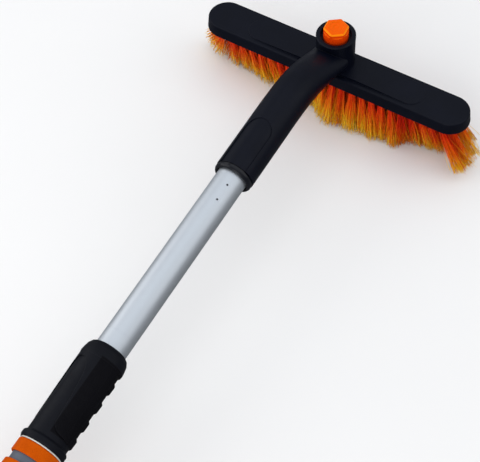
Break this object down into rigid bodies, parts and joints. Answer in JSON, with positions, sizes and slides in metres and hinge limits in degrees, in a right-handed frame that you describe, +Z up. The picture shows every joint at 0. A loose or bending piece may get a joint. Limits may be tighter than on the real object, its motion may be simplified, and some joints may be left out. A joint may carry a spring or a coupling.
{
  "type": "snow brush scraper",
  "caption": "Telescopic snow brush: swivelling bristle head with push-button lock, sliding tube with twist lock, foam handle and an ice scraper blade.",
  "frame": {"origin": "middle of the overall box at ground level, with the tool lying as stored: bristle tips and scraper edge on the ground", "axes": "+X from the brush head along the handle to the scraper, +Y along the brush head, +Z up along the head's swivel axis"},
  "size_m": [0.8594, 0.304, 0.1188],
  "materials": {
    "black_plastic": "satin moulded polypropylene",
    "gloss_black": "glossy moulded plastic",
    "orange_plastic": "semi-gloss moulded plastic",
    "bristle": "drawn filaments, red at the root and yellow at the tip",
    "silver_tube": "satin anodised",
    "grey_tube": "satin grey lacquer",
    "orange_foam": "closed-cell foam, matt",
    "grip_rubber": "soft-touch rubber, satin",
    "pale_plastic": "natural acetal",
    "steel": "zinc plated"
  },
  "bodies": {
    "handle": {"outer_tube": "grey_tube", "guide_bush": "black_plastic", "stop_ring": "black_plastic", "front_grip": "grip_rubber", "trim_washer": "pale_plastic", "foam_band_front": "orange_foam", "foam_grip": "orange_foam", "foam_band_rear": "orange_foam", "scraper_socket": "black_plastic", "scraper_blade": "orange_plastic", "scraper_screws": "steel"},
    "lock_slider": {"lock_collet": "pale_plastic"},
    "lock_nut": {"lock_cone": "steel"},
    "shaft": {"inner_tube": "silver_tube", "lock_plug": "black_plastic", "lock_spindle": "steel", "neck_arm": "black_plastic", "collar_ring": "black_plastic", "sleeve_bead": "gloss_black", "sleeve_screws": "steel"},
    "button": {"push_button": "orange_plastic", "lock_sleeve": "pale_plastic"},
    "brush_head": {"head_shell": "black_plastic", "bristle_block": "black_plastic", "cover_screws": "steel", "pivot_post": "pale_plastic", "post_screws": "steel", "thrust_washer": "pale_plastic", "retaining_clip": "steel", "lock_ring": "pale_plastic", "pivot_screw": "steel", "button_spring": "steel", "bristle_row_1": "bristle", "bristle_row_2": "bristle", "bristle_row_3": "bristle", "bristle_row_4": "bristle"}
  },
  "joints": [
    {"name": "tube_slide", "type": "slide", "parent": "handle", "child": "lock_slider", "axis": [0.9971, 0, -0.0758], "range_m": [0, 0.15]},
    {"name": "twist_lock", "type": "hinge", "parent": "lock_slider", "child": "shaft", "pos_m": [-0.40253, 0, 0.1078], "axis": [0.9971, 0, -0.0758], "range_deg": [0, 90]},
    {"name": "cone_travel", "type": "slide", "parent": "lock_slider", "child": "lock_nut", "axis": [0.9971, 0, -0.0758], "range_m": [0, 0.0016]},
    {"name": "head_swivel", "type": "hinge", "parent": "shaft", "child": "brush_head", "pos_m": [-0.40253, 0, 0.066], "axis": [0, 0, 1], "continuous": true},
    {"name": "button_press", "type": "slide", "parent": "shaft", "child": "button", "axis": [0, 0, -1], "range_m": [0, 0.007], "stiffness_N_per_m": 600, "springref_m": -0.003, "deforming": ["button_spring"]}
  ],
  "couplings": [
    {"joint": "cone_travel", "follows": "twist_lock", "m_per_rad": 0.000955}
  ]
}
